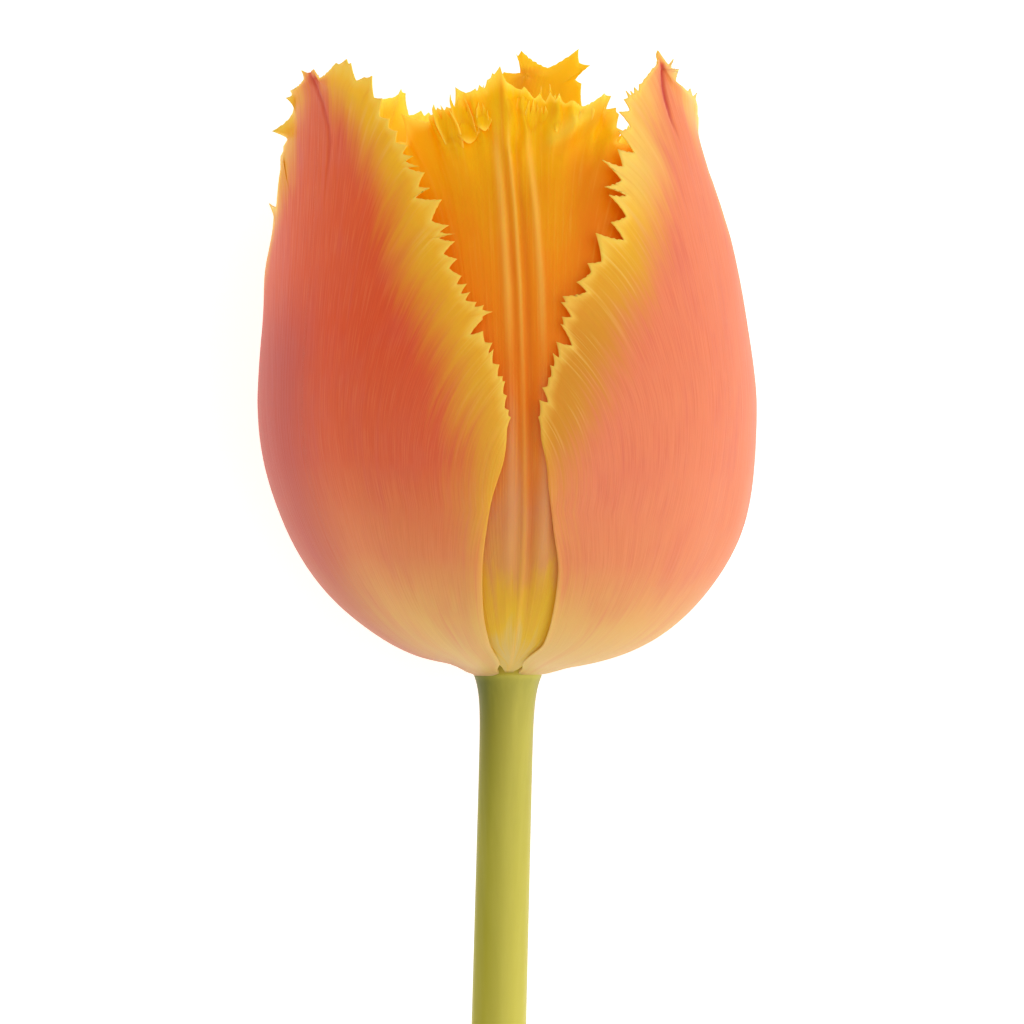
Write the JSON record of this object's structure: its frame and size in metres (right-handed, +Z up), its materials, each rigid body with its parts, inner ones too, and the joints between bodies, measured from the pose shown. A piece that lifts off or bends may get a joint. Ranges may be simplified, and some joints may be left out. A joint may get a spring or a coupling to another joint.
{
  "type": "fringed tulip cut flower",
  "caption": "Single cut tulip lying on its side: orange-red tepals with yellow toothed margins round a pistil and stamens, on a bare stem.",
  "frame": {"origin": "middle of the flat spot under the bloom, on the surface the flower lies on", "axes": "+Y along the flower from the cut end to the mouth of the bloom, +Z up from the surface, +X to the right seen from above"},
  "size_m": [0.0622, 0.2557, 0.0634],
  "materials": {
    "stem": "satin",
    "outer_tepal": "satin",
    "inner_tepal": "satin",
    "ovary": "satin",
    "stigma": "matte",
    "filament": "matte",
    "anther": "matte"
  },
  "bodies": {
    "root": {"stem": "stem", "outer_tepal_left": "outer_tepal", "outer_tepal_right": "outer_tepal", "outer_tepal_back": "outer_tepal", "inner_tepal_front": "inner_tepal", "inner_tepal_left": "inner_tepal", "inner_tepal_right": "inner_tepal", "ovary": "ovary", "stigma": "stigma", "filament_1": "filament", "filament_2": "filament", "filament_3": "filament", "filament_4": "filament", "filament_5": "filament", "filament_6": "filament", "anther_1": "anther", "anther_2": "anther", "anther_3": "anther", "anther_4": "anther", "anther_5": "anther", "anther_6": "anther"}
  },
  "joints": []
}
